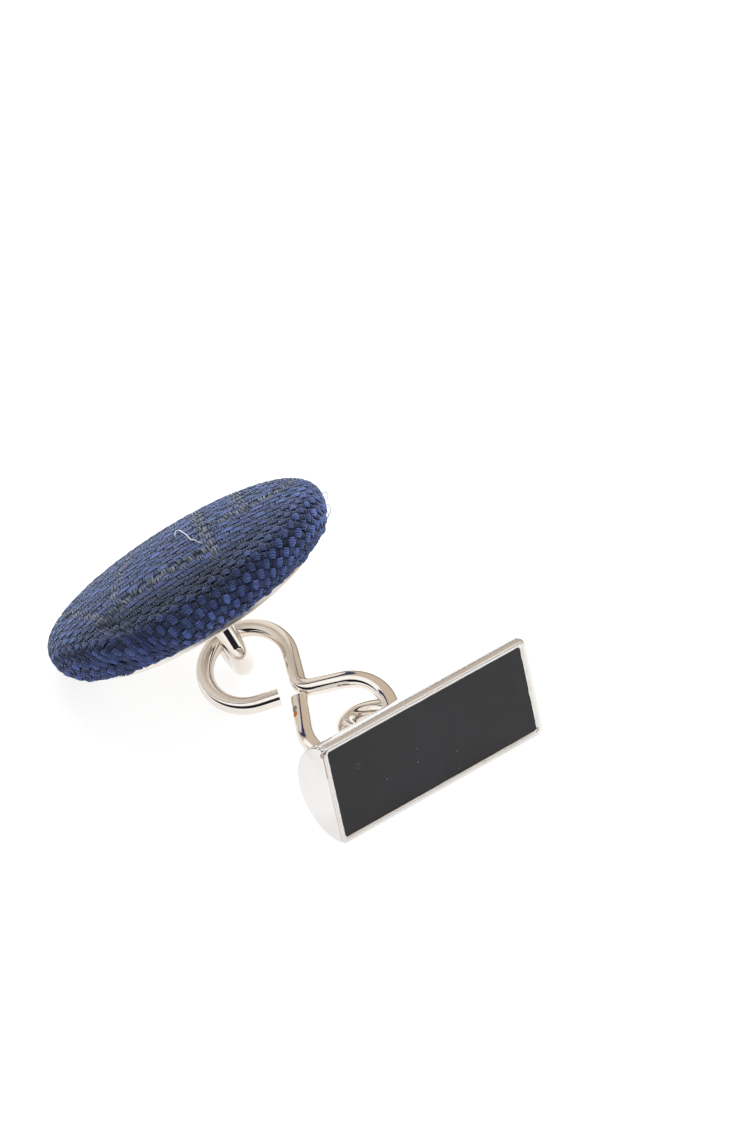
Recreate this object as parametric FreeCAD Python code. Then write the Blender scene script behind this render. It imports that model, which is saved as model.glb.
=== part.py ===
"""Cufflink: a cloth-covered button and a half-round bar, joined by a figure-eight wire link.

The part lies as on a table: Z is up, X runs along the bar, and lengths are in millimetres.
"""
import FreeCAD, Part
import math
import os

Vec = FreeCAD.Vector
os.makedirs("parts", exist_ok=True)

# Bar
bar_length = 16.9
bar_radius = 3.33
bar_middle_x = -0.15
bar_roll = 17.2            # degrees the flat face leans back from upright
bar_edge_round = 0.2
rim_width = 0.37
recess_drop = 0.06         # recess below the middle of the face
recess_depth = 0.6
recess_corner = 0.22
enamel_sink = 0.04         # enamel surface below the rim

# Wire eyes; a bend's radius is that of its centre line, half the spacing of the legs
eye_wire_radius = 0.68
bar_eye_bend = 2.25
bar_eye_rise = 1.49        # from the bar's back to the middle of the bend
bar_eye_turn = 6.0         # degrees from the bar's length
bar_eye_place = -0.12      # along the bar from its middle
bar_eye_lean = -1.8        # degrees round the back from its middle
bar_socket_depth = 1.0
bead_radius = 1.08         # solder at each foot
bead_sink = 0.42           # the bead's middle under the bar's back
button_eye_bend = 1.75
button_eye_rise = 3.35     # from inside the back plate to the middle of the bend
button_eye_turn = 68.0     # degrees about the button's front axis
head_radius = 0.95
head_height = 0.4
head_round = 0.28
head_room = 0.1            # free space around a leg's head

# Link
wire_radius = 0.575
loop_radius = 2.85         # centre line
loop_spacing = 7.88        # between the loops' middles
neck_offset = 0.55         # centre line of the neck from the link's long axis
neck_bend = 0.8            # centre line
button_end = (-0.87, 0.81)  # cut end near the neck, along and across the link
bar_end = (0.30, 0.28)
link_middle_x = -2.29
link_middle_y = 10.42
link_middle_z = 2.13
link_along = Vec(0.215, -0.974, -0.073)     # towards the bar
link_across = Vec(-0.892, -0.166, -0.420)   # towards the cut ends

# Button
button_radius = 10.13
dome_height = 2.1          # above the widest circle
front_edge_radius = 1.1
back_edge_radius = 1.85
cloth_thickness = 0.45
cloth_tuck_radius = 6.6
shell_thickness = 0.4
shell_skirt_angle = 50.0   # how far the cap's skirt turns behind the widest circle
filler_room = 0.1          # filler's edge inside the circle of the back edge's round
plate_radius = 8.2
plate_thickness = 0.4
plate_edge_round = 0.12
washer_radius = 3.1
button_tilt = 35.7         # degrees from level
button_heading = 109.2     # degrees from X to the side that the front faces
button_x = -3.49
button_y = 19.86

bar_width = 2 * bar_radius
edge_circle = button_radius - back_edge_radius
back_level = -back_edge_radius
tuck_level = back_level + cloth_thickness


def unit(v):
    return Vec(v).normalize()


def sind(degrees):
    return math.sin(math.radians(degrees))


def cosd(degrees):
    return math.cos(math.radians(degrees))


def frame(origin, x_axis, z_axis):
    """Placement with the given origin, Z axis, and X axis made square to Z."""
    z = unit(z_axis)
    x = unit(Vec(x_axis) - z * z.dot(Vec(x_axis)))
    y = z.cross(x)
    matrix = FreeCAD.Matrix(x.x, y.x, z.x, origin.x,
                            x.y, y.y, z.y, origin.y,
                            x.z, y.z, z.z, origin.z, 0, 0, 0, 1)
    return FreeCAD.Placement(matrix)


def placed(shape, placement):
    moved = shape.copy()
    moved.Placement = placement.multiply(moved.Placement)
    return moved


# The bar's own frame: X along it, Y down its flat face, Z out of its rounded back
bar_frame = frame(Vec(bar_middle_x, 0, bar_radius), Vec(1, 0, 0),
                  Vec(0, cosd(bar_roll), -sind(bar_roll)))

# The button's own frame: Z out of its front, origin in the widest circle
button_front = Vec(sind(button_tilt) * cosd(button_heading),
                   sind(button_tilt) * sind(button_heading), cosd(button_tilt))
button_height = edge_circle * sind(button_tilt) + back_edge_radius
button_frame = frame(Vec(button_x, button_y, button_height), Vec(1, 0, 0), button_front)

# Turn of the button's eye, of its holes and of its pockets
eye_turn = FreeCAD.Placement(Vec(0, 0, 0), FreeCAD.Rotation(Vec(0, 0, 1), button_eye_turn))

# The link's own frame: X towards the bar, Y towards the cut ends
link_middle = Vec(link_middle_x, link_middle_y, link_middle_z)
link_frame = frame(link_middle, link_along, link_along.cross(link_across))


def arc(a, b, c):
    return Part.Arc(a, b, c).toShape()


def line(a, b):
    return Part.LineSegment(a, b).toShape()


def eye_wire(r, rise, foot):
    """U of round wire with bend radius r: legs start at height -foot, the bend's middle is at height rise."""
    path = Part.Wire([line(Vec(r, 0, -foot), Vec(r, 0, rise)),
                      arc(Vec(r, 0, rise), Vec(0, 0, rise + r), Vec(-r, 0, rise)),
                      line(Vec(-r, 0, rise), Vec(-r, 0, -foot))])
    section = Part.Wire([Part.makeCircle(eye_wire_radius, Vec(r, 0, -foot), Vec(0, 0, 1))])
    return path.makePipeShell([section], True, False)


def both_legs(bend, make):
    return make(bend).fuse(make(-bend))


def make_bar_blank():
    r = bar_radius
    half = bar_length / 2
    outline = Part.Wire([arc(Vec(-half, -r, 0), Vec(-half, 0, r), Vec(-half, r, 0)),
                         line(Vec(-half, r, 0), Vec(-half, -r, 0))])
    blank = Part.Face(outline).extrude(Vec(bar_length, 0, 0))
    return blank.makeFillet(bar_edge_round, blank.Edges)


def recess_block(low, high):
    """Block with the outline of the recess and rounded corners, between two depths."""
    length = bar_length - 2 * rim_width
    width = bar_width - 2 * rim_width
    block = Part.makeBox(length, width, high - low, Vec(-length / 2, recess_drop - width / 2, low))
    upright = [e for e in block.Edges if abs(e.tangentAt(e.FirstParameter).z) > 0.9]
    return block.makeFillet(recess_corner, upright)


def make_enamel():
    return recess_block(enamel_sink, recess_depth)


def make_recess():
    return recess_block(-recess_depth, recess_depth)


def make_bar_eye(blank):
    """Eye with its legs in the bar's back, and a bead of solder round each foot."""
    lean = FreeCAD.Placement(Vec(bar_eye_place, 0, 0), FreeCAD.Rotation(Vec(1, 0, 0), -bar_eye_lean))
    turn = FreeCAD.Placement(Vec(0, 0, bar_radius), FreeCAD.Rotation(Vec(0, 0, 1), bar_eye_turn))
    seat = lean.multiply(turn)
    wire = eye_wire(bar_eye_bend, bar_eye_rise, bar_socket_depth)
    aside = bar_eye_bend * sind(bar_eye_turn)
    drop = bar_radius - math.sqrt(bar_radius ** 2 - aside ** 2)

    def bead(x):
        return Part.makeSphere(bead_radius, Vec(x, 0, -drop - bead_sink))

    beads = placed(both_legs(bar_eye_bend, bead), seat).cut(blank)
    return placed(wire, seat).fuse(beads).removeSplitter()


def dome_arcs(depth, back_angle):
    """Half outline of the dome at a depth under its surface, from the axis to behind the edge."""
    front_circle = button_radius - front_edge_radius
    top = dome_height
    # the crown's sphere touches the front edge's round from inside
    sphere = ((front_circle ** 2 + top ** 2 - front_edge_radius ** 2)
              / (2 * (top - front_edge_radius)))
    crown = top - sphere
    lean = math.atan2(front_circle, -crown)
    r1 = sphere - depth
    r2 = front_edge_radius - depth
    r3 = back_edge_radius - depth

    def on(cx, cz, r, angle):
        return Vec(cx + r * math.cos(angle), 0, cz + r * math.sin(angle))

    up = math.pi / 2
    back = math.radians(back_angle)
    edges = [arc(on(0, crown, r1, up), on(0, crown, r1, up - lean / 2), on(0, crown, r1, up - lean)),
             arc(on(front_circle, 0, r2, up - lean), on(front_circle, 0, r2, (up - lean) / 2),
                 on(front_circle, 0, r2, 0)),
             arc(on(edge_circle, 0, r3, 0), on(edge_circle, 0, r3, -back / 2),
                 on(edge_circle, 0, r3, -back))]
    return edges, on(0, crown, r1, up), on(edge_circle, 0, r3, -back)


def spun(edges):
    face = Part.Face(Part.Wire(Part.__sortEdges__(edges)))
    return face.revolve(Vec(0, 0, 0), Vec(0, 0, 1), 360)


def make_cloth():
    outer, top, low = dome_arcs(0, 90)
    inner, top_in, low_in = dome_arcs(cloth_thickness, 90)
    tuck = Vec(cloth_tuck_radius, 0, back_level)
    tuck_in = Vec(cloth_tuck_radius, 0, tuck_level)
    hem = [line(low, tuck), line(tuck, tuck_in), line(tuck_in, low_in)]
    return spun(outer + inner + hem + [line(top_in, top)])


def make_shell():
    outer, top, low = dome_arcs(cloth_thickness, shell_skirt_angle)
    inner, top_in, low_in = dome_arcs(cloth_thickness + shell_thickness, shell_skirt_angle)
    return spun(outer + inner + [line(low, low_in), line(top_in, top)])


def make_filler():
    """Pressed board inside the cap, with pockets for the heads of the eye's legs."""
    upper, top, low = dome_arcs(cloth_thickness + shell_thickness, shell_skirt_angle)
    corner = Vec(edge_circle - filler_room, 0, tuck_level)
    middle = Vec(0, 0, tuck_level)
    board = spun(upper + [line(low, corner), line(corner, middle), line(middle, top)])

    def pocket(x):
        return Part.makeCylinder(head_radius + head_room, head_height + head_room,
                                 Vec(x, 0, tuck_level), Vec(0, 0, 1))

    return board.cut(placed(both_legs(button_eye_bend, pocket), eye_turn))


def leg_holes():
    """Bores for the eye's legs, right through the plate and the washer."""
    low = back_level - 2 * plate_thickness
    high = back_level + 2 * cloth_thickness

    def hole(x):
        return Part.makeCylinder(eye_wire_radius, high - low, Vec(x, 0, low), Vec(0, 0, 1))

    return placed(both_legs(button_eye_bend, hole), eye_turn)


def make_washer():
    disc = Part.makeCylinder(washer_radius, cloth_thickness, Vec(0, 0, back_level))
    return disc.cut(leg_holes())


def make_plate():
    disc = Part.makeCylinder(plate_radius, plate_thickness, Vec(0, 0, back_level - plate_thickness))
    rim = [e for e in disc.Edges if abs(e.BoundBox.ZLength) < 1e-6]
    return disc.makeFillet(plate_edge_round, rim).cut(leg_holes())


def make_button_eye():
    """Eye with its legs through plate and washer, each leg headed inside."""
    foot = back_level - tuck_level
    wire = eye_wire(button_eye_bend, button_eye_rise, -foot)
    over = FreeCAD.Placement(Vec(0, 0, back_level), FreeCAD.Rotation(Vec(1, 0, 0), 180))

    def head(x):
        knob = Part.makeCylinder(head_radius, head_height, Vec(x, 0, tuck_level))
        top = [e for e in knob.Edges if e.BoundBox.ZMin > tuck_level + head_height / 2]
        return knob.makeFillet(head_round, top)

    whole = placed(wire, over).fuse(both_legs(button_eye_bend, head)).removeSplitter()
    return placed(whole, eye_turn)


def make_link():
    """One wire: a loop at each end, a pinched neck, and both cut ends beside the neck."""
    a = loop_spacing / 2
    r = loop_radius
    neck_y = -(neck_bend + neck_offset)
    # a straight run touches the loop and the neck's bend, at this angle from both middles
    lean = math.atan2(-neck_y, a) + math.acos((r + neck_bend) / math.hypot(a, neck_y))

    def on(side, angle):
        return Vec(side * (a + r * math.cos(angle)), r * math.sin(angle), 0)

    def bend_end(side):
        return Vec(side * neck_bend * math.cos(lean), neck_y + neck_bend * math.sin(lean), 0)

    def loop(side, end):
        """Edges from the cut end round the loop to the neck; side -1 is the button's loop."""
        x = side * end[0] - a
        away = math.hypot(x, end[1])
        start = math.atan2(end[1], x) - math.acos(r / away)
        last = lean - math.pi
        tip = Vec(end[0], end[1], 0)
        return [line(tip, on(side, start)),
                arc(on(side, start), on(side, (start + last) / 2), on(side, last)),
                line(on(side, last), bend_end(side))]

    first = loop(-1, button_end)
    second = loop(1, bar_end)
    neck = arc(bend_end(-1), Vec(0, -neck_offset, 0), bend_end(1))
    path = Part.Wire(Part.__sortEdges__(first + [neck] + second))
    tip = Vec(button_end[0], button_end[1], 0)
    aim = (first[0].Vertexes[-1].Point - tip)
    section = Part.Wire([Part.makeCircle(wire_radius, tip, aim)])
    return path.makePipeShell([section], True, False)


bar_blank = make_bar_blank()
bar_eye = make_bar_eye(bar_blank)
bar_body = bar_blank.cut(make_recess()).cut(bar_eye)

nodes = {
    "bar_body": placed(bar_body, bar_frame),
    "enamel_inlay": placed(make_enamel(), bar_frame),
    "bar_eye": placed(bar_eye, bar_frame),
    "link": placed(make_link(), link_frame),
    "fabric_cover": placed(make_cloth(), button_frame),
    "button_shell": placed(make_shell(), button_frame),
    "filler_disc": placed(make_filler(), button_frame),
    "backing_washer": placed(make_washer(), button_frame),
    "back_plate": placed(make_plate(), button_frame),
    "button_eye": placed(make_button_eye(), button_frame),
}

# Origin under the middle of the whole part
whole = Part.makeCompound(list(nodes.values())).optimalBoundingBox(False)
shift = Vec(-(whole.XMin + whole.XMax) / 2, -(whole.YMin + whole.YMax) / 2, 0)

for name, shape in nodes.items():
    solid = shape.Solids[0]
    solid.translate(shift)
    solid.exportStep("parts/" + name + ".step")
    print(name, len(shape.Solids), solid.isValid(), round(solid.Volume, 3))

for name, side in (("button", -1), ("bar", 1)):
    spot = link_frame.multVec(Vec(side * loop_spacing / 2, 0, 0)) + shift
    print(name, "loop middle", [round(c, 4) for c in spot])
print("loop axis", [round(c, 6) for c in link_frame.Rotation.multVec(Vec(0, 0, 1))])
rim_middle = (rim_width + recess_drop + bar_edge_round) / 2 - bar_radius
rim_point = bar_frame.multVec(Vec(0, rim_middle, 0)) + shift
print("rim point", [round(c, 4) for c in rim_point])
print("face axis", [round(c, 6) for c in bar_frame.Rotation.multVec(Vec(0, 0, -1))])
print("size", round(whole.XLength, 3), round(whole.YLength, 3), round(whole.ZLength, 3))
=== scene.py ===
"""Looks of a chain-link cufflink: woven cover, polished wire and bar, black enamel, and a studio."""
import math

import bpy
import numpy as np
from bpy.props import FloatProperty, FloatVectorProperty, IntProperty, PointerProperty
from bpy.types import Operator, Panel, PropertyGroup
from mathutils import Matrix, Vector


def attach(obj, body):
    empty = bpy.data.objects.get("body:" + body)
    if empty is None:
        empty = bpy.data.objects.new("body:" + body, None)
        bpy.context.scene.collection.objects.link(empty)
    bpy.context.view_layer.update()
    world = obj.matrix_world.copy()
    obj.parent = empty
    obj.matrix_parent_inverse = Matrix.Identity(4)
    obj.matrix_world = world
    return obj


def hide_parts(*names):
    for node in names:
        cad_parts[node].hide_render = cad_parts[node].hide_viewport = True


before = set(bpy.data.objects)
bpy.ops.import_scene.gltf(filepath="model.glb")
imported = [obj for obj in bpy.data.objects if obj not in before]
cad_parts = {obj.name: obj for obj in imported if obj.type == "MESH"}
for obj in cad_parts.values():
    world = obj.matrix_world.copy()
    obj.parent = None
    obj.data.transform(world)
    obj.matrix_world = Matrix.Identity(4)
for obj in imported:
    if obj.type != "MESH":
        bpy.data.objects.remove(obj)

bl_info = {
    "name": "Cufflink dressing",
    "version": (1, 0, 0),
    "blender": (4, 5, 0),
    "location": "3D View > Sidebar > Cufflink",
    "description": "Gives the cufflink its woven cover, metal, enamel and studio",
    "category": "Object",
}

MM = 0.001
TABLE_GAP = 0.004 * MM
FULL_TURN = 2 * math.pi
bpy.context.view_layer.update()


# Places measured on the loaded solids

def points_of(name):
    """Vertices of a solid's mesh as an array of rows."""
    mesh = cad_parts[name].data
    flat = np.empty(len(mesh.vertices) * 3)
    mesh.vertices.foreach_get("co", flat)
    return flat.reshape(-1, 3)


class ButtonPlace:
    """The button's axis, centre and main sizes, read from the cover and plate solids.

    The axis is the thin direction of the plate. The widest circle of the cover gives the centre,
    and heights along the axis count from that circle towards the front.
    """
    NEARLY_WIDEST = 0.99995
    SAME_LEVEL = 0.01 * MM

    def __init__(self):
        plate = points_of("back_plate")
        cover = points_of("fabric_cover")
        middle = (plate.min(0) + plate.max(0)) / 2
        axis = np.linalg.svd(plate - plate.mean(0))[2][2]
        self.front = axis * np.sign(axis @ (cover.mean(0) - middle))
        self.right = np.array([1.0, 0, 0]) - self.front[0] * self.front
        self.right /= np.linalg.norm(self.right)
        self.away = np.cross(self.front, self.right)
        height = (cover - middle) @ self.front
        radius = np.hypot((cover - middle) @ self.right, (cover - middle) @ self.away)
        self.radius = radius.max()
        widest = height[radius > self.radius * self.NEARLY_WIDEST].mean()
        self.centre = middle + widest * self.front
        self.crown = height.max() - widest
        self.depth = widest - height.min()
        self.tuck = radius[height < height.min() + self.SAME_LEVEL].min()

    def world(self, radius, turn, height):
        """Points at the given distance from the axis, angle round it and height along it."""
        return (self.centre
                + (radius * np.cos(turn))[..., None] * self.right
                + (radius * np.sin(turn))[..., None] * self.away
                + np.asarray(height)[..., None] * self.front)


BUTTON = ButtonPlace()


# Settings

def length(name, text, size):
    return FloatProperty(name=name, description=text, default=size, min=0.0, unit="LENGTH", precision=6)


def amount(name, text, value, top=1.0):
    return FloatProperty(name=name, description=text, default=value, min=0.0, max=top)


def angle(name, text, degrees):
    return FloatProperty(name=name, description=text, default=math.radians(degrees), unit="ROTATION")


def count(name, text, number):
    return IntProperty(name=name, description=text, default=number, min=1)


def colour(name, text, red, green, blue):
    return FloatVectorProperty(name=name, description=text, default=(red, green, blue), size=3,
                               min=0.0, max=1.0, subtype="COLOR")


class CoverSettings(PropertyGroup):
    front_round: length("Front round", "Radius where the dome turns into its side", 1.1 * MM)
    thickness: length("Cloth thickness", "Thickness of the cloth at the tuck", 0.4 * MM)
    float_width: length("Float width", "Pitch of the floats along the cloth on the front", 0.585 * MM)
    float_height: length("Float height", "Pitch of the floats across the cloth on the front", 0.80 * MM)
    edge_share: amount("Edge share", "Float size at the edge as a share of the front's", 0.76)
    lean: angle("Weave direction", "Angle of the floats in the button's own frame", -30.5)
    weft_strands: count("Weft strands", "Strands side by side in a float", 4)
    warp_strands: count("Warp strands", "Strands side by side in a crossing", 3)
    weft_rise: length("Weft rise", "Height of a blue float over the cloth's middle", 0.10 * MM)
    warp_rise: length("Warp rise", "Height of a navy crossing over the cloth's middle", 0.035 * MM)
    strand_depth: length("Strand depth", "Half thickness of a strand", 0.075 * MM)
    dive: length("Dive", "Depth of a strand's ends under the cloth's middle", 0.13 * MM)
    fibre_radius: length("Fibre radius", "Half thickness of the pale stray fibre", 0.028 * MM)
    fuzz_radius: length("Fuzz radius", "Half thickness of the small pulled loops", 0.022 * MM)
    weft_blue: colour("Weft blue", "Colour of the blue floats", 0.046, 0.072, 0.205)
    warp_navy: colour("Warp navy", "Colour of the navy crossings", 0.017, 0.024, 0.066)
    # Darker than any yarn: painted shade for the gaps between strands; also the dark of the check's black
    # threads
    dark_navy_and_gap_shade: colour("Ground navy", "Colour of the cloth between the strands", 0.006, 0.008, 0.022)
    line_grey: colour("Line grey", "Colour of the check's thin grey threads", 0.135, 0.135, 0.138)
    fibre_pale: colour("Fibre", "Colour of the pale stray fibre", 0.80, 0.81, 0.84)
    fuzz_blue: colour("Fuzz", "Colour of the small pulled loops", 0.20, 0.25, 0.37)


class MetalSettings(PropertyGroup):
    nickel: colour("Nickel", "Tone of the polished nickel plating", 0.825, 0.775, 0.722)
    bar_nickel: colour("Bar nickel", "Tone of the plating on the bar", 0.785, 0.775, 0.765)
    # Painted shade: the rim's plating is a darker, warmer copy of the bar's, for the rim's dimmer reflections
    rim_nickel: colour("Rim nickel", "Tone of the rubbed plating on the bar's rim", 0.765, 0.748, 0.73)
    copper: colour("Copper", "Copper that shows where the plating has worn away", 0.60, 0.22, 0.06)
    roughness: amount("Roughness", "Mean roughness of the polished wire", 0.08)
    bar_roughness: amount("Bar roughness", "Mean roughness of the bar's plating", 0.14)
    rim_roughness: amount("Rim roughness", "Mean roughness of the rubbed rim", 0.30)
    plate_roughness: amount("Plate roughness", "Mean roughness of the brushed back plate", 0.34)
    stain: colour("Stain", "Reddish brown of the worn edge at the bar's corner", 0.45, 0.35, 0.31)
    faint_stain: colour("Faint stain", "Pale brown of the worn edge further down", 0.64, 0.58, 0.55)
    lip_width: length("Lip width", "Width of the rounded lip along the inlay", 0.42 * MM)
    lip_inset: length("Lip inset", "How far the lip stays inside the left end", 0.03 * MM)
    lip_end: length("Lip end", "How far the lip stands out at the right end", 0.20 * MM)
    lip_round: length("Lip round", "Corner radius of the lip's outer side", 0.45 * MM)
    lip_inner_round: length("Lip inner round", "Corner radius of the lip's inner side", 0.22 * MM)
    lip_waver: length("Lip waver", "Waver of the lip's inner side", 0.012 * MM)
    enamel: colour("Enamel", "Colour of the black enamel", 0.009, 0.0095, 0.013)
    pinhole: colour("Pinhole", "Colour of the enamel's pale pinholes", 0.11, 0.11, 0.115)
    enamel_gloss: amount("Enamel roughness", "Roughness of the satin enamel", 0.34)
    tin: colour("Tin plate", "Tone of the pressed cap and washer inside the button", 0.62, 0.63, 0.64)
    board: colour("Board", "Colour of the pressed board inside the button", 0.30, 0.23, 0.15)


class StageSettings(PropertyGroup):
    lens: amount("Lens", "Focal length in millimetres", 202.62, 1000.0)
    sensor: amount("Sensor", "Width of the camera's sensor in millimetres", 36.0, 100.0)
    near_clip: length("Near clip", "Nearest distance that the camera shows", 0.01)
    eye: FloatVectorProperty(name="Eye", description="Place of the camera", size=3, unit="LENGTH",
                             default=(-206.96 * MM, -243.719 * MM, 251.83 * MM))
    look: FloatVectorProperty(name="Look", description="Direction of the view", size=3,
                              default=(0.5306, 0.5962, -0.6025))
    floor_size: length("Floor size", "Side of the floor", 4.0)
    floor_glow: amount("Floor glow", "Brightness that the floor shows by itself", 0.84)
    sky: amount("Sky", "Strength of the studio around the part", 1.17, 4.0)
    key_power: amount("Key light", "Power of the soft light above", 0.5, 100.0)
    rear_power: amount("Rear light", "Power of the soft light behind", 2.8, 100.0)


# Mesh helpers

def new_piece(name, vertices, faces, material, smooth=True):
    mesh = bpy.data.meshes.new(name)
    mesh.from_pydata(vertices.reshape(-1, 3).tolist(), [], faces)
    mesh.polygons.foreach_set("use_smooth", np.full(len(mesh.polygons), smooth))
    mesh.materials.append(material)
    mesh.update()
    piece = bpy.data.objects.new(name, mesh)
    bpy.context.scene.collection.objects.link(piece)
    return piece


def lay_uv(mesh, name, across, up):
    """UV map from one pair of numbers for each vertex."""
    corner = np.empty(len(mesh.loops), int)
    mesh.loops.foreach_get("vertex_index", corner)
    pairs = np.stack([across.ravel(), up.ravel()], -1)
    mesh.uv_layers.new(name=name).data.foreach_set("uv", pairs[corner].ravel())


def ring_quads(rings, sides):
    """Quads between successive closed rings of vertices, as an array of rows of four."""
    row = np.arange(rings - 1)[:, None] * sides
    col = np.arange(sides)[None, :]
    nxt = (col + 1) % sides
    return np.stack([row + col, row + sides + col, row + sides + nxt, row + nxt], -1).reshape(-1, 4)


def fan(centre, ring_start, sides, outward):
    """Triangles from one vertex to a closed ring."""
    col = np.arange(sides)
    nxt = (col + 1) % sides
    order = (col, nxt) if outward else (nxt, col)
    return np.stack([np.full(sides, centre), ring_start + order[0], ring_start + order[1]], -1)


def closed_rings(rings, sides, outward=True):
    """Faces of a row of rings that a point closes at each end; the two points follow the rings' vertices."""
    points = rings * sides
    quads = ring_quads(rings, sides) if outward else ring_quads(rings, sides)[:, ::-1]
    return (quads.tolist() + fan(points, 0, sides, outward).tolist()
            + fan(points + 1, points - sides, sides, not outward).tolist())


def smooth_path(knots, points):
    """Curve through the knots: each span blends the straight lines of its two ends (Catmull-Rom)."""
    knots = np.asarray(knots, float)
    padded = np.vstack([2 * knots[0] - knots[1], knots, 2 * knots[-1] - knots[-2]])
    at = np.linspace(0, len(knots) - 1 - 1e-9, points)
    span = at.astype(int)
    t = (at - span)[:, None]
    a, b, c, d = (padded[span + k] for k in range(4))
    return 0.5 * (2 * b + (c - a) * t + (2 * a - 5 * b + 4 * c - d) * t ** 2
                  + (3 * b - a - 3 * c + d) * t ** 3)


def balls(places):
    """Small spheres by centre and radius: rings of points by height and turn, and a point at each pole."""
    rings, sides = 8, 12
    rise = (np.arange(rings)[:, None] + 1) / (rings + 1) * math.pi
    turn = np.arange(sides) / sides * FULL_TURN
    belt = np.stack([np.sin(rise) * np.cos(turn), np.sin(rise) * np.sin(turn), np.cos(rise) + 0 * turn], -1)
    unit = np.vstack([belt.reshape(-1, 3), [[0, 0, 1], [0, 0, -1]]])
    vertices = np.stack([np.array(centre) * MM + radius * MM * unit for centre, radius in places])
    faces = [[corner + number * len(unit) for corner in face]
             for number in range(len(places)) for face in closed_rings(rings, sides)]
    return vertices, faces


def tube(path, radius, sides=6):
    """Round thread along a path: a circle square to the path at each point, closed by a point at each end.

    Over the first and last fifth the circle grows from and shrinks to two fifths of its radius.
    """
    along = np.gradient(path, axis=0)
    along /= np.linalg.norm(along, axis=1, keepdims=True)
    askew = np.array([0.31, 0.23, 0.92])
    side = np.cross(along, askew)
    side /= np.linalg.norm(side, axis=1, keepdims=True)
    other = np.cross(along, side)
    turn = np.linspace(0, FULL_TURN, sides, endpoint=False)[None, :, None]
    circle = np.cos(turn) * side[:, None] + np.sin(turn) * other[:, None]
    from_end = np.minimum(np.linspace(0, 1, len(path)), np.linspace(1, 0, len(path)))
    thin = np.minimum(1, 3 * from_end + 0.4)
    rings = path[:, None] + radius * thin[:, None, None] * circle
    vertices = np.vstack([rings.reshape(-1, 3), path[:1], path[-1:]])
    return vertices, closed_rings(len(path), sides, outward=False)


# Material helpers

def feed(tree, made, inputs):
    """Sets each given input of a node, or links it where the value is another node's output."""
    for socket, value in inputs.items():
        if isinstance(value, bpy.types.NodeSocket):
            tree.links.new(value, made.inputs[socket])
        else:
            made.inputs[socket].default_value = value


def node(tree, kind, inputs=None, **settings):
    """Adds a node, with its settings, and feeds its inputs."""
    made = tree.nodes.new("ShaderNode" + kind)
    for name, value in settings.items():
        setattr(made, name, value)
    feed(tree, made, inputs or {})
    return made


def maths(tree, operation, first, second=0.0, third=0.0):
    return node(tree, "Math", {0: first, 1: second, 2: third}, operation=operation).outputs[0]


def vector_maths(tree, operation, first, second, output="Value"):
    return node(tree, "VectorMath", {0: first, 1: second}, operation=operation).outputs[output]


def between(tree, value, low, high, start=0.0, end=1.0):
    """Smooth step of a value between two levels."""
    return node(tree, "MapRange", {"Value": value, "From Min": low, "From Max": high,
                                   "To Min": start, "To Max": end},
                interpolation_type="SMOOTHSTEP").outputs[0]


def mixed(tree, share, first, second, how="MIX"):
    made = node(tree, "Mix", {0: share, 6: first, 7: second}, data_type="RGBA", blend_type=how)
    return made.outputs[2]


def rgba(tone, share=1.0):
    """Opaque colour of a tone, or of a share of its brightness."""
    return (*[c * share for c in tone], 1.0)


def metres(place):
    return [c * MM for c in place]


def noise(tree, vector, scale, detail=2.0, roughness=0.5):
    return node(tree, "TexNoise", {"Vector": vector, "Scale": scale, "Detail": detail,
                                   "Roughness": roughness}).outputs["Fac"]


def stretched(tree, vector, scale, rotation=(0, 0, 0)):
    return node(tree, "Mapping", {"Vector": vector, "Rotation": rotation, "Scale": scale}).outputs[0]


def near(tree, place, spot, inner, outer):
    """One at a spot of the object, falling to zero between two distances from it."""
    away = vector_maths(tree, "DISTANCE", place, spot)
    return between(tree, away, inner, outer, start=1.0, end=0.0)


def beside_line(tree, place, start, end, inner, outer):
    """One along a straight line of the object, falling to zero between two distances from it."""
    line = Vector(end) - Vector(start)
    offset = vector_maths(tree, "SUBTRACT", place, start, "Vector")
    along = vector_maths(tree, "DOT_PRODUCT", offset, line / line.length_squared)
    held = node(tree, "Clamp", {"Value": along}).outputs[0]
    foot = node(tree, "VectorMath", {0: line, "Scale": held}, operation="SCALE").outputs["Vector"]
    return between(tree, vector_maths(tree, "DISTANCE", offset, foot), inner, outer, start=1.0, end=0.0)


def new_material(name):
    material = bpy.data.materials.new(name)
    material.use_nodes = True
    tree = material.node_tree
    place = node(tree, "TexCoord").outputs["Object"]
    return material, tree, tree.nodes["Principled BSDF"], place


def bumped(tree, shader, height, distance, strength=1.0):
    bump = node(tree, "Bump", {"Height": height, "Distance": distance, "Strength": strength})
    feed(tree, shader, {"Normal": bump.outputs["Normal"]})


# Materials

# Low gloss, and the pale haze that short fibres give a cloth seen along its surface
CLOTH_GLOSS = {"Specular IOR Level": 0.25, "Sheen Weight": 0.9, "Sheen Roughness": 0.24,
               "Sheen Tint": (0.58, 0.74, 1.0, 1)}


def spun_yarn():
    """Yarn: its colour attribute, the dye with painted shade and painted light, streaked by fibres that twist
    along it, with a soft sheen.
    """
    material, tree, shader, _ = new_material("spun_yarn")
    strand = node(tree, "UVMap", uv_map="strand").outputs["UV"]
    dye_and_painted_shading = node(tree, "Attribute", attribute_name="dye_and_painted_shading").outputs["Color"]
    twist = stretched(tree, strand, scale=(0.9, 5.0, 1), rotation=(0, 0, 0.45))
    fibres = noise(tree, twist, scale=1.6, detail=3.0, roughness=0.65)
    tone = maths(tree, "MULTIPLY_ADD", fibres, 1.5, 0.25)
    streaks = node(tree, "CombineXYZ", {0: tone, 1: tone, 2: tone}).outputs[0]
    feed(tree, shader, {"Base Color": mixed(tree, 1.0, dye_and_painted_shading, streaks, "MULTIPLY"),
                        "Roughness": between(tree, fibres, 0.2, 0.8, start=0.55, end=0.80), **CLOTH_GLOSS})
    bumped(tree, shader, fibres, distance=0.03 * MM, strength=0.8)
    return material


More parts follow.
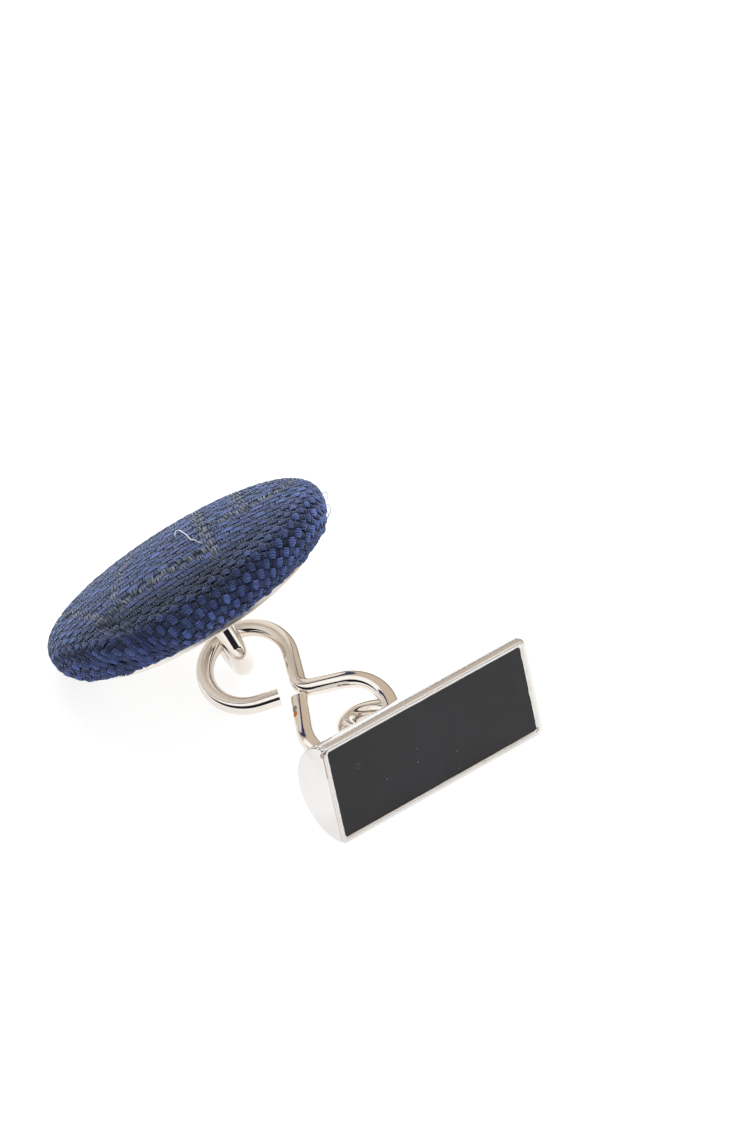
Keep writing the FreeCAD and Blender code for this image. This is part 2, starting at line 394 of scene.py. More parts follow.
def cloth_ground(cover):
    """Cloth that shows between the strands, its navy darkened as painted shade of the gaps, mottled by fine
    fibres.
    """
    material, tree, shader, place = new_material("cloth_ground")
    fibres = noise(tree, place, scale=5200.0, detail=4.0, roughness=0.7)
    # Painted shade of the gaps: mottled between a darkened navy and the warp's navy
    mottled = mixed(tree, fibres, rgba(cover.dark_navy_and_gap_shade, 0.4), rgba(cover.warp_navy))
    feed(tree, shader, {"Base Color": mottled, **CLOTH_GLOSS,
                        "Roughness": between(tree, fibres, 0.2, 0.8, start=0.7, end=0.95)})
    bumped(tree, shader, fibres, distance=0.03 * MM, strength=0.6)
    return material


def loose_fibre(name, tone):
    """Single fibre with a fine grain along its tone."""
    material, tree, shader, place = new_material(name)
    grain = noise(tree, place, scale=9000.0)
    feed(tree, shader, {"Base Color": mixed(tree, grain, rgba(tone, 0.8), rgba(tone)), "Roughness": 0.6})
    return material


def polished(name, tone, roughness, wear=(), edges=()):
    """Plated polished metal: faint tarnish clouds, fine scratches, worn spots and worn edges.

    A worn spot is a place, a size, the tone that shows and the roughness that it adds. A worn edge is both
    ends of a line, a width and the tone that shows.
    """
    material, tree, shader, place = new_material(name)
    clouds = noise(tree, place, scale=420.0, detail=3.0, roughness=0.6)
    dull = (tone[0] * 0.86, tone[1] * 0.86, tone[2] * 0.80, 1.0)
    plated = mixed(tree, between(tree, clouds, 0.52, 0.80), rgba(tone), dull)
    grain = noise(tree, place, scale=5200.0)
    rough = maths(tree, "MULTIPLY_ADD", grain, roughness * 0.7, roughness * 0.6)
    for spot, size, shown, rougher in wear:
        mask = near(tree, place, metres(spot), size * 0.35 * MM, size * MM)
        ragged = between(tree, maths(tree, "MULTIPLY_ADD", grain, 0.8, mask), 0.72, 1.0)
        plated = mixed(tree, ragged, plated, rgba(shown))
        rough = maths(tree, "MULTIPLY_ADD", ragged, rougher, rough)
    for start, end, width, shown in edges:
        mask = beside_line(tree, place, metres(start), metres(end), width * 0.4 * MM, width * MM)
        patchy = maths(tree, "MULTIPLY", mask, between(tree, clouds, 0.25, 0.55))
        plated = mixed(tree, patchy, plated, rgba(shown))
    feed(tree, shader, {"Base Color": plated, "Roughness": rough, "Metallic": 1.0})
    drawn_out = stretched(tree, place, scale=(900, 9000, 900), rotation=(0.3, 0.5, 0.9))
    scratches = noise(tree, drawn_out, scale=1.0, roughness=0.4)
    ripple = noise(tree, place, scale=700.0, detail=1.0)
    relief = maths(tree, "MULTIPLY_ADD", ripple, 3.0, scratches)
    bumped(tree, shader, relief, distance=0.002 * MM, strength=0.6)
    return material


# Pale specks and a faint ring in the enamel: places, and the radii between which each fades, in millimetres
ENAMEL_SPECKS = ((0.961, -13.994, 2.508), (4.075, -14.197, 1.85), (3.948, -14.537, 0.753),
                 (-1.63, -13.987, 2.531))
ENAMEL_RING = (-3.559, -13.446, 4.278)
SPECK_RADII, RING_OUTER, RING_INNER = (0.03, 0.075), (0.17, 0.22), (0.11, 0.16)


def satin_enamel(metal):
    """Black filling with a soft gloss, fine orange peel, a few pale pinholes and a faint ring."""
    material, tree, shader, place = new_material("satin_black_enamel")

    def spot(centre, radii):
        return near(tree, place, metres(centre), *metres(radii))

    peel = noise(tree, place, scale=2600.0, detail=3.0, roughness=0.6)
    clouds = noise(tree, place, scale=260.0, detail=3.0, roughness=0.6)
    base = mixed(tree, between(tree, clouds, 0.3, 0.75), rgba(metal.enamel), rgba(metal.enamel, 1.5))
    cells = node(tree, "TexVoronoi", {"Vector": place, "Scale": 900.0}, feature="F1")
    hole = between(tree, cells.outputs["Distance"], 0.03, 0.07, start=1.0, end=0.0)
    pick = node(tree, "SeparateColor", {"Color": cells.outputs["Color"]}).outputs[0]
    pinholes = maths(tree, "MULTIPLY", hole, between(tree, pick, 0.93, 0.96))
    for speck in ENAMEL_SPECKS:
        pinholes = maths(tree, "MAXIMUM", pinholes, spot(speck, SPECK_RADII))
    inside = maths(tree, "SUBTRACT", 1.0, spot(ENAMEL_RING, RING_INNER))
    ring = maths(tree, "MULTIPLY", spot(ENAMEL_RING, RING_OUTER), inside)
    pinholes = maths(tree, "MAXIMUM", pinholes, maths(tree, "MULTIPLY", ring, 0.35))
    gloss = between(tree, peel, 0.3, 0.7, start=metal.enamel_gloss - 0.05, end=metal.enamel_gloss + 0.05)
    feed(tree, shader, {"Base Color": mixed(tree, pinholes, base, rgba(metal.pinhole)), "Roughness": gloss,
                        "Specular IOR Level": 0.37})
    bumped(tree, shader, maths(tree, "SUBTRACT", peel, pinholes), distance=0.004 * MM, strength=0.5)
    return material


def pressed_tin(metal):
    """Bare tin plate with the fine lines of its rolling."""
    material, tree, shader, place = new_material("pressed_tin")
    grain = noise(tree, stretched(tree, place, scale=(300, 3000, 300)), scale=1.0, detail=3.0)
    feed(tree, shader, {"Base Color": mixed(tree, grain, rgba(metal.tin, 0.8), rgba(metal.tin)),
                        "Roughness": between(tree, grain, 0.2, 0.8, start=0.25, end=0.42), "Metallic": 1.0})
    bumped(tree, shader, grain, distance=0.003 * MM, strength=0.5)
    return material


def pressed_board(metal):
    """Pressed board with its fibres."""
    material, tree, shader, place = new_material("pressed_board")
    lying = stretched(tree, place, scale=(900, 3600, 900))
    fibres = noise(tree, lying, scale=1.0, detail=5.0, roughness=0.7)
    feed(tree, shader, {"Base Color": mixed(tree, fibres, rgba(metal.board, 0.6), rgba(metal.board)),
                        "Roughness": 0.9})
    bumped(tree, shader, fibres, distance=0.02 * MM, strength=0.7)
    return material


# Form of the woven cover

class CoverOutline:
    """Half outline of the cover by the distance along it from the crown.

    It is the crown's sphere, the front round, the back round and the flat tuck, end to end.
    """

    def __init__(self, cover):
        self.round = cover.front_round
        self.front = BUTTON.radius - self.round
        self.back = BUTTON.radius - BUTTON.depth
        self.sphere = ((self.front ** 2 + BUTTON.crown ** 2 - self.round ** 2)
                       / (2 * (BUTTON.crown - self.round)))
        self.lean = math.atan2(self.front, self.sphere - BUTTON.crown)
        spans = [self.sphere * self.lean, self.round * (math.pi / 2 - self.lean),
                 BUTTON.depth * math.pi / 2, self.back - BUTTON.tuck]
        self.ends = np.cumsum(spans)
        self.edge, self.hem, self.total = self.ends[1:]

    def at(self, s):
        """Distance from the axis, height and the outward direction's parts, by distance from the crown."""
        t1 = s / self.sphere
        t2 = self.lean + (s - self.ends[0]) / self.round
        t3 = (s - self.ends[1]) / BUTTON.depth
        parts = [s < self.ends[0], s < self.ends[1], s < self.ends[2]]
        r = np.select(parts, [self.sphere * np.sin(t1), self.front + self.round * np.sin(t2),
                              self.back + BUTTON.depth * np.cos(t3)], self.back - (s - self.ends[2]))
        z = np.select(parts, [BUTTON.crown - self.sphere + self.sphere * np.cos(t1), self.round * np.cos(t2),
                              -BUTTON.depth * np.sin(t3)], -BUTTON.depth)
        nr = np.select(parts, [np.sin(t1), np.sin(t2), np.cos(t3)], 0.0)
        nz = np.select(parts, [np.cos(t1), np.cos(t2), -np.sin(t3)], -1.0)
        return r, z, nr, nz

    def place(self, s, turn, lift):
        """Points at a distance from the crown, an angle round the axis and a height over the outline."""
        r, z, nr, nz = self.at(s)
        return above_table(BUTTON.world(r + lift * nr, turn, z + lift * nz))


def above_table(points):
    """Points with the lowest ones raised to just over the table."""
    points[..., 2] = np.maximum(points[..., 2], TABLE_GAP)
    return points


def ramp(value, low, high):
    """Smooth step from zero at low to one at high, for whole arrays."""
    t = np.clip((value - low) / (high - low), 0, 1)
    return t * t * (3 - 2 * t)


def drift(u, v, seed, reach):
    """Slow random waver of the cloth: a sum of eight plane waves with seeded directions and phases."""
    source = np.random.default_rng(seed)
    total = np.zeros_like(u)
    for heading, phase, size in source.uniform([0, 0, 0.6], [FULL_TURN, FULL_TURN, 1.6], (8, 3)):
        way = u * math.cos(heading) + v * math.sin(heading)
        total += np.sin(way * FULL_TURN / (reach * size) + phase)
    return total / 4


def cell_random(i, j, seed):
    """Repeatable random number from zero to one for each whole-number cell."""
    mix = np.sin(i * 127.1 + j * 311.7 + seed * 74.7) * 43758.5453
    return mix - np.floor(mix)


def waves(turn, rows, shape):
    """Sum of waves round a loop, each with its number of crests, its strength and its phase."""
    return sum(strength * shape(crests * turn + phase) for crests, strength, phase in rows)


# Folds where the cloth is drawn so tight that only its warp shows: both ends of each, and its half width.
# Hollows and swells of the cloth: place, half widths and height. All in millimetres on the flat cloth. Ribs
# and hollows also darken the strands as painted shade, and swells lighten them as painted light
RIBS = (((-5.7, -5.4), (-4.6, -9.1), 0.62), ((-4.6, -9.1), (-4.1, -11.4), 0.75),
        ((-9.6, -3.4), (-7.45, -7.85), 0.42), ((-7.45, -7.85), (-5.9, -10.4), 0.42))
HOLLOWS = (((2.0, -9.2), (1.7, 0.9), 1.0), ((-2.6, -8.4), (1.3, 0.9), 0.8))
SWELLS = (((-6.9, -6.9), (1.0, 1.2), 1.0), ((-5.8, -9.5), (0.8, 0.8), 1.0))
# Height in millimetres of a rib, a hollow and a swell, and their painted shade, which is negative on a swell,
# where it is painted light
FOLD_HEIGHTS, FOLD_SHADES = (-0.15, -0.10, 0.08), (0.55, 0.80, -1.2)


def ribbed(u, v):
    """Share of the ribbed folds: a Gauss section about the nearest point of each segment."""
    share = np.zeros_like(u)
    for (u0, v0), (u1, v1), width in RIBS:
        across, up = u1 - u0, v1 - v0
        t = np.clip(((u - u0) * across + (v - v0) * up) / (across ** 2 + up ** 2), 0, 1)
        away = np.hypot(u - u0 - t * across, v - v0 - t * up)
        share = np.maximum(share, np.exp(-(away / width) ** 2))
    return share


def hills(u, v, rows):
    """Highest of several round Gauss hills at each place."""
    return np.maximum.reduce([top * np.exp(-((u - place[0]) / size[0]) ** 2 - ((v - place[1]) / size[1]) ** 2)
                              for place, size, top in rows])


def fold_marks(u, v):
    """Height in millimetres of the folds where the cloth turns down on the near side, and their painted
    shade, negative where a swell gets painted light.
    """
    marks = np.stack([ribbed(u, v), hills(u, v, HOLLOWS), hills(u, v, SWELLS)], -1)
    return marks @ np.array(FOLD_HEIGHTS), np.clip(marks @ np.array(FOLD_SHADES), min(FOLD_SHADES), 1)


# Small folds behind the edge: waves round the rim, their height, and the stretches where they grow and end
GATHERS = ((31, 1.0, 0.7), (47, 0.7, 2.1), (19, 0.5, 4.0))
GATHER_HEIGHT, GATHER_START, GATHER_END = 0.05 * MM, 2.4 * MM, 0.5 * MM


def gathers(s, turn, outline):
    """Folds behind the edge, where the cloth is drawn in: cosines round the rim that grow to the hem."""
    folds = waves(turn, GATHERS, np.cos) - sum(strength for _, strength, _ in GATHERS)
    rise = ramp(s, outline.edge, outline.edge + GATHER_START)
    return GATHER_HEIGHT * rise * (1 - ramp(s, outline.hem - GATHER_END, outline.hem)) * folds


# Lines of the check: place, lean, bow, the ends between which the line shows, and strength, in millimetres on
# the flat cloth
CROSS_LINES = ((5.33, 0.0, 0.0, 1.6, 8.4, 1.0), (2.45, 0.0, 0.0, -5.6, 7.4, 1.0),
               (-4.05, 0.28, 0.0, -2.4, 6.8, 0.9), (-7.05, -0.28, 0.0, -4.8, 4.6, 1.0))
LONG_LINES = ((-4.0, 0.0, 0.0, -5.0, 2.0, 1.0), (1.925, -0.90, 0.10, 3.0, 8.8, 1.0),
              (6.5, 0.05, 0.0, -6.0, 2.0, 0.5))
# How far a line fades past its ends and inside them, and the offset that stands for no line, in millimetres
FADE_OUTSIDE, FADE_INSIDE, NO_LINE = 0.9, 0.3, 9.0


class CheckForm:
    """Numbers of the check's band, along the floats, and of its lines of two threads, across them."""
    BAND_COLOUR, BAND_OPENING = (0.30, 0.75), (0.30, 0.70)  # half widths between which they fade, millimetres
    LINE_OPENING = (0.25, 0.50)  # half widths between which it fades, millimetres
    BAND_OPENED, LINE_OPENED = 0.8, 0.7  # how far the floats open there
    THREAD_PLACE, THREAD_WIDTH = 0.15, 0.11  # a thread's distance from the line and half width
    WEFT_BAND, WEFT_LINE, WARP_SHARE = 0.72, 0.78, 0.95  # shares of the grey on floats and crossings
    SPECK_MIX, SPECK_LEVEL = 7.3, 0.50  # draw by which a strand is grey or dark in the band
    TOP_TONE = 0.85  # highest painted light on the check's grey threads


def nearest_line(across, along, lines):
    """Offset from the nearest of several bowed lines, and how plainly that line shows there."""
    best = np.full(across.shape, NO_LINE)
    share = np.zeros(across.shape)
    for place, lean, bow, start, end, strength in lines:
        off = across - (place + lean * along + bow * along ** 2)
        begun = ramp(along, start - FADE_OUTSIDE, start + FADE_INSIDE)
        shown = strength * begun * (1 - ramp(along, end - FADE_INSIDE, end + FADE_OUTSIDE))
        closer = np.abs(off) < np.abs(best)
        best = np.where(closer, off, best)
        share = np.where(closer, shown, share)
    return np.abs(best), share


def checked(u, v):
    """Share of the check's band and lines, where the warp comes up between the floats."""
    long_off, long_share = nearest_line(v, u, LONG_LINES)
    cross_off, cross_share = nearest_line(u, v, CROSS_LINES)
    band = long_share * (1 - ramp(long_off, *CheckForm.BAND_OPENING))
    line = cross_share * (1 - ramp(cross_off, *CheckForm.LINE_OPENING))
    return np.maximum(CheckForm.BAND_OPENED * band, CheckForm.LINE_OPENED * line)


# Strands of the woven cover

# Stretch before the hem where the cloth lies down, and where the strands end
HEM_STRETCH, HEM_MARGIN = 0.9 * MM, 0.15 * MM


class Weave:
    """Where the threads lie: counts of half repeats along the floats and of rows across them, from the crown.

    The counts grow with the distance from the crown, faster near the edge, where the cloth is drawn closer,
    and a slow random waver is added.
    """
    CLOSER = (0.55, 0.9)  # shares of the way to the edge where the cloth gets closer
    WAVER, WAVER_REACH = (0.20, 0.16), 4.0  # waver along and across in counts, and its reach in millimetres
    SAMPLES = 500  # steps along the outline

    def __init__(self, cover, outline):
        self.cover = cover
        self.outline = outline
        self.s = np.linspace(0, outline.total, self.SAMPLES)
        shrink = 1 - (1 - cover.edge_share) * ramp(self.s / outline.edge, *self.CLOSER)
        steps = np.diff(self.s) * (1 / shrink[1:] + 1 / shrink[:-1]) / 2
        self.reach = np.concatenate([[0], np.cumsum(steps)])

    def spread(self, along, across):
        """Distance from the crown and bearing of a pair of counts, and its two lengths on the flat cloth.

        The waver depends on the place that is looked for, so the place is found in three rounds.
        """
        x, y = along * self.cover.float_width, across * self.cover.float_height
        for _ in range(3):
            bearing = np.arctan2(y, x)
            s = np.interp(np.hypot(x, y), self.reach, self.s)
            u, v = s * np.cos(bearing) / MM, s * np.sin(bearing) / MM
            x = (along - self.WAVER[0] * drift(u, v, 3, self.WAVER_REACH)) * self.cover.float_width
            y = (across - self.WAVER[1] * drift(u, v, 8, self.WAVER_REACH)) * self.cover.float_height
        return s, bearing, u, v

    def cells(self, parity):
        """Column and row of the cells of one colour of the chessboard that lie in front of the hem."""
        widest = self.reach[-1]
        columns = int(widest / self.cover.float_width) + 2
        rows = int(widest / self.cover.float_height) + 2
        i, j = np.meshgrid(np.arange(-columns, columns), np.arange(-rows, rows), indexing="ij")
        s = self.spread(i + 0.5, j + 0.5)[0]
        kept = ((i + j) % 2 == parity) & (s < self.outline.hem - HEM_MARGIN)
        return i[kept], j[kept]


class StrandForm:
    """Numbers that shape the strands, in cells of the weave unless said otherwise."""
    STATIONS, SIDES = 6, 5  # points along a strand and round it
    ALIKE = 0.65  # share of the random draws that a float's strands have in common
    NEAR_SIDE = (0.5, 4.0)  # millimetres below the crown where the near side begins and is reached
    ROUNDING = (0.66, 0.90)  # shares of the way to its edge where the floats there turn round
    LENGTH, SPREAD = 1.24, 0.30  # mean length and its random spread
    FLOAT_GAIN, FLAT_GAIN = 0.22, 0.18  # extra length of a float, and more of it on the flat front
    CROSSING_GAIN = 0.80  # extra length of a crossing that comes up
    OUTER_CUT = 0.26  # share by which the outer strands of a round float are shorter
    DRAWN = 0.22  # share by which the strands of a flat float are drawn together
    HALF_WIDTH, FLAT_CUT = 0.56, 0.19  # half width in pitches of strands, and its loss on the flat front
    TAPER = 0.35  # share by which a strand narrows at its ends
    SHIFT, SWAY, SKEW = 0.10, 0.30, 0.25  # random moves lengthways, sideways and aslant
    BEND = 2.4  # power of the distance from the middle by which a strand dips
    UNEVEN = 0.05  # random spread of the rise, millimetres
    FLATTENED, LAID_DOWN = 0.72, 0.6  # shares of the height that are lost on the flat front and at the hem
    SUNK, RAISED = -0.10, 0.03  # moves of floats and crossings where the warp comes up, millimetres
    PATTERN, SHIFTS = 6, (97, 31)  # half length in the fibres' pattern, and the pattern's random shifts


class StrandShade:
    """Numbers of the painted shade and painted light on the strands, and of their random tone, as shares of
    their dye unless said otherwise.
    """
    DEEP, GAIN, END_POWER = 0.40, 0.75, 3  # painted shade: tone in a crevice; painted light that the top gains; the tone's fall to the ends
    STRAND_SPREAD, FLAT_SPREAD = 0.8, 0.6  # random spread of strands, and more on the flat front
    CELL_LOW, CELL_SPREAD, CELL_SEED = 0.75, 0.5, 3  # lowest tone of a cell, its random spread and seed
    FOLD, TURN_LOSS, EDGE_GAIN = 0.55, 0.75, 0.60  # painted shade in folds and painted light on swells, painted shade at the near turn, painted light at the edge
    TURN_FROM = (2.0, 5.5)  # millimetres below the crown where the near turn's painted shade begins and is full
    TURN_PLACE, TURN_WIDTH = 0.73, 0.19  # its middle and half width, shares of the way to the edge
    SPARED, SPARED_FROM = 0.35, (1.0, 6.0)  # share of it that is spared at the right, and where, millimetres
    EDGE_FROM = (0.93, 1.03)  # shares of the way to the edge where the painted light begins and is full
    RIB_BLUE = 0.5  # share of the floats' blue in the warp of a ribbed fold


class Strands:
    """Strands of one direction: in each cell of the weave several lie side by side and arch over the cloth.

    Arrays have a row for each strand, then t along it from -1 to 1, then the turn round its section. On the
    front the cloth is stretched flat, with long floats whose strands are drawn together. Near the lower edge
    the floats are round, with shorter outer strands. In a ribbed fold and in the check the floats sink and
    the warp comes up.
    """

    def __init__(self, cover, weave, weft):
        self.cover, self.outline, self.weft = cover, weave.outline, weft
        self.number = cover.weft_strands if weft else cover.warp_strands
        i, j = weave.cells(0 if weft else 1)
        self.k = np.tile(np.arange(self.number), len(i))[:, None, None]
        self.i, self.j = (np.repeat(cell, self.number)[:, None, None] for cell in (i, j))
        self.chance, self.other, self.third = (self.draw(seed) for seed in (1, 5, 9))
        self.t = np.linspace(-1, 1, StrandForm.STATIONS)[None, :, None]
        self.turn = (FULL_TURN * np.arange(StrandForm.SIDES) / StrandForm.SIDES - math.pi / 2)[None, None, :]
        self.narrow = 1 - StrandForm.TAPER * self.t ** 4
        start, _, u, v = weave.spread(self.i + 0.5, self.j + 0.5)
        self.rib = ribbed(u, v)
        self.opened = np.maximum(self.rib, checked(u, v))
        rounding = ramp(start / self.outline.edge, *StrandForm.ROUNDING)
        self.flat = 1 - ramp(-v, *StrandForm.NEAR_SIDE) * rounding
        self.s, self.bearing, self.u, self.v = weave.spread(*self.counts())
        self.fold, self.shade = fold_marks(self.u, self.v)

    def draw(self, seed):
        """Random number for each strand, in part the same for all strands of a float."""
        alike = StrandForm.ALIKE if self.weft else 0.0
        single = cell_random(self.i * self.number + self.k, self.j, seed)
        return alike * cell_random(self.i, self.j, seed + 1) + (1 - alike) * single

    def counts(self):
        """Counts of the weave along and across: lengthways with t, and sideways with the section's cosine."""
        form, flat = StrandForm, self.flat
        off_middle = self.k - (self.number - 1) / 2
        if self.weft:
            longer = (form.FLOAT_GAIN + form.FLAT_GAIN * flat) * (1 - self.opened)
            outer = (2 * off_middle / (self.number - 1)) ** 2
            drawn = -form.DRAWN * flat * off_middle
        else:
            longer, outer, drawn = form.CROSSING_GAIN * self.opened, 0.0, 0.0
        half = 0.5 * (form.LENGTH + form.SPREAD * (self.other - 0.5) + longer)
        half = half * (1 - form.OUTER_CUT * (1 - flat) * outer)
        lengthways = 0.5 + self.t * half + form.SHIFT * (self.third - 0.5)
        aslant = form.SKEW * (self.third - 0.5) * self.t
        middle = self.k + 0.5 + drawn + form.SWAY * (self.other - 0.5) + aslant
        wide = (form.HALF_WIDTH - form.FLAT_CUT * flat) * self.narrow
        sideways = (middle + wide * np.cos(self.turn)) / self.number
        if self.weft:
            return self.i + lengthways, self.j + sideways
        return self.i + sideways, self.j + lengthways

    def vertices(self):
        """Points of the strands.

        A strand's middle has a height of its rise less a power of the distance from the cell's middle, so
        both ends dive under. Its section is a flat ellipse that narrows towards the ends.
        """
        form, cover, outline = StrandForm, self.cover, self.outline
        rise = (cover.weft_rise if self.weft else cover.warp_rise) / MM
        bend = np.abs(self.t) ** form.BEND
        height = (rise + form.UNEVEN * (self.chance - 0.5)) * (1 - bend) - cover.dive / MM * bend
        height = height + cover.strand_depth / MM * self.narrow * np.sin(self.turn)
        laid = 1 - form.LAID_DOWN * ramp(self.s, outline.hem - HEM_STRETCH, outline.hem)
        height = height * (1 - form.FLATTENED * self.flat) * laid
        height = height + self.opened * (form.SUNK if self.weft else form.RAISED)
        turn = self.bearing + cover.lean
        return outline.place(self.s, turn, (height + self.fold) * MM + gathers(self.s, turn, outline))

    def faces(self):
        """Quads round each strand and a flat cap at each of its ends."""
        stations, sides = StrandForm.STATIONS, StrandForm.SIDES
        first = (np.arange(len(self.i)) * stations * sides)[:, None, None]
        rings = ring_quads(stations, sides)[None] + first
        caps = np.stack([np.arange(sides)[::-1], np.arange(sides) + (stations - 1) * sides])[None] + first
        if self.weft:
            rings = rings[..., ::-1]
        else:
            caps = caps[..., ::-1]
        return rings.reshape(-1, 4).tolist() + caps.reshape(-1, sides).tolist()

    def uv(self):
        """Lengths along and round each strand for the pattern of its fibres, shifted at random."""
        along = StrandForm.PATTERN * self.t + StrandForm.SHIFTS[0] * self.chance
        around = self.turn / FULL_TURN + StrandForm.SHIFTS[1] * self.third
        return along + 0 * self.u, around + 0 * self.u

    def tone(self):
        """Random tone of the strands times painted shade and painted light: painted shade in crevices, folds
        and where the near side turns, painted light on swells and at the edge.
        """
        light = StrandShade
        way = self.s / self.outline.edge
        # Painted shade: darker on a strand's sides and underside and towards its ends
        crevice_painted_shade = (0.5 + 0.5 * np.sin(self.turn)) * (1 - np.abs(self.t) ** light.END_POWER)
        # Painted shade where the near side turns down, partly spared at the right
        near_turn_painted_shade = ramp(-self.v, *light.TURN_FROM) * np.exp(-((way - light.TURN_PLACE) / light.TURN_WIDTH) ** 2)
        near_turn_painted_shade = near_turn_painted_shade * (1 - light.SPARED * ramp(self.u, *light.SPARED_FROM))
        strand = 1 + (self.chance - 0.5) * (light.STRAND_SPREAD + light.FLAT_SPREAD * self.flat)
        cell = light.CELL_LOW + light.CELL_SPREAD * cell_random(self.i, self.j, light.CELL_SEED)
        # Painted light round the edge
        edge = 1 + light.EDGE_GAIN * ramp(way, *light.EDGE_FROM)
        # Painted shade and light together: crevices, folds and swells, the near turn and the edge
        return (strand * cell * (light.DEEP + light.GAIN * crevice_painted_shade) * (1 - light.FOLD * self.shade)
                * (1 - light.TURN_LOSS * near_turn_painted_shade) * edge)

    def dye_and_painted_shading(self):
        """Colour of the strands: the base tone, dark and grey specks in the check's band, and its grey lines,
        times the painted shade and painted light of tone(), held lower on the grey.

        The grey threads belong to the warp, so on the floats they leave only a part of their colour.
        """
        cover, check = self.cover, CheckForm
        blue, navy, dark, grey = (np.array(tone) for tone in (cover.weft_blue, cover.warp_navy,
                                                              cover.dark_navy_and_gap_shade, cover.line_grey))
        base = blue if self.weft else navy + StrandShade.RIB_BLUE * self.rib[..., None] * (blue - navy)
        long_off, long_share = nearest_line(self.v, self.u, LONG_LINES)
        cross_off, cross_share = nearest_line(self.u, self.v, CROSS_LINES)
        thread = np.exp(-((cross_off - check.THREAD_PLACE) / check.THREAD_WIDTH) ** 2)
        band = long_share * (check.WEFT_BAND if self.weft else check.WARP_SHARE)
        band = (band * (1 - ramp(long_off, *check.BAND_COLOUR)))[..., None]
        line = (cross_share * (check.WEFT_LINE if self.weft else check.WARP_SHARE) * thread)[..., None]
        speck = np.where((self.chance * check.SPECK_MIX % 1 > check.SPECK_LEVEL)[..., None], grey, dark)
        dye_and_painted_shading = base + band * (speck - base)
        dye_and_painted_shading = dye_and_painted_shading + line * (grey - dye_and_painted_shading)
        # Painted shade and painted light, held lower on the check's grey
        lit = self.tone()[..., None]
        return dye_and_painted_shading * (lit + np.maximum(band, line) * (np.minimum(lit, check.TOP_TONE) - lit))


def make_strands(name, cover, weave, weft, material):
    """Piece of all strands of one direction, with their dye and painted shading as a colour attribute and a
    UV map along and round each strand.
    """
    strands = Strands(cover, weave, weft)
    piece = new_piece(name, strands.vertices(), strands.faces(), material)
    dye_and_painted_shading = strands.dye_and_painted_shading()
    # The colour attribute holds the dye with painted shade and painted light
    store = piece.data.attributes.new("dye_and_painted_shading", "FLOAT_COLOR", "POINT")
    store.data.foreach_set("color", np.concatenate([dye_and_painted_shading, np.ones(dye_and_painted_shading.shape[:-1] + (1,))], -1).ravel())
    lay_uv(piece.data, "strand", *strands.uv())
    return piece


def make_ground(cover, outline):
    """Closed cloth under the strands: from the crown round the edge to the tuck, and back inside."""
    columns, front_rows, tuck_rows, inner_rows, inner_first = 256, 70, 6, 9, 5
    sunk = 0.06 * MM
    s = np.concatenate([np.linspace(0, outline.hem, front_rows)[1:],
                        np.linspace(outline.hem, outline.total, tuck_rows)[1:]])[:, None]
    turn = np.linspace(0, FULL_TURN, columns, endpoint=False)[None, :]
    bearing = turn - cover.lean
    fold = fold_marks(s * np.cos(bearing) / MM, s * np.sin(bearing) / MM)[0]
    shown = 1 - ramp(s, outline.hem - HEM_STRETCH, outline.hem)
    lift = (fold * MM - sunk) * shown + gathers(s, turn, outline)
    outer = outline.place(s + 0 * turn, turn + 0 * s, lift)
    inner_s = s[np.linspace(len(s) - 1, inner_first, inner_rows).astype(int)]
    inner = outline.place(inner_s + 0 * turn, turn + 0 * inner_s, -cover.thickness + 0 * inner_s * turn)
    rings = np.concatenate([outer, inner])
    crown = BUTTON.world(np.zeros(2), np.zeros(2), BUTTON.crown - np.array([sunk, cover.thickness]))
    vertices = np.vstack([rings.reshape(-1, 3), crown])
    return new_piece("woven_cover", vertices, closed_rings(len(rings), columns), cloth_ground(cover))


# Rim of the bar's face

# Section of the lip: share of its width from the inlay outwards, and height over the face in millimetres
LIP_SECTION = ((0.0, -0.08), (0.02, 0.01), (0.14, 0.05), (0.35, 0.065), (0.60, 0.05), (0.82, 0.0),
               (0.95, -0.09), (1.0, -0.22), (1.0, -0.45), (0.70, -0.65), (0.0, -0.30))
LIP_WAVES = ((11, 1.0, 0.0), (23, 0.8, 1.0), (41, 0.7, 2.0))


def rounded_loop(low, high, radius, run=24, arc=8):
    """Points round a rectangle with round corners, against the clock, the same number for every size."""
    turn = np.linspace(0, math.pi / 2, arc)
    middle, reach = (low + high) / 2, (high - low) / 2 - radius
    points = []
    for quarter, corner in enumerate(((1, 1), (-1, 1), (-1, -1), (1, -1))):
        bend = turn + quarter * math.pi / 2
        points.append(middle + reach * corner + radius * np.stack([np.cos(bend), np.sin(bend)], -1))
    sides = [np.linspace(points[k][-1], points[(k + 1) % 4][0], run + 2)[1:-1] for k in range(4)]
    return np.vstack([part for k in range(4) for part in (points[k], sides[k])])


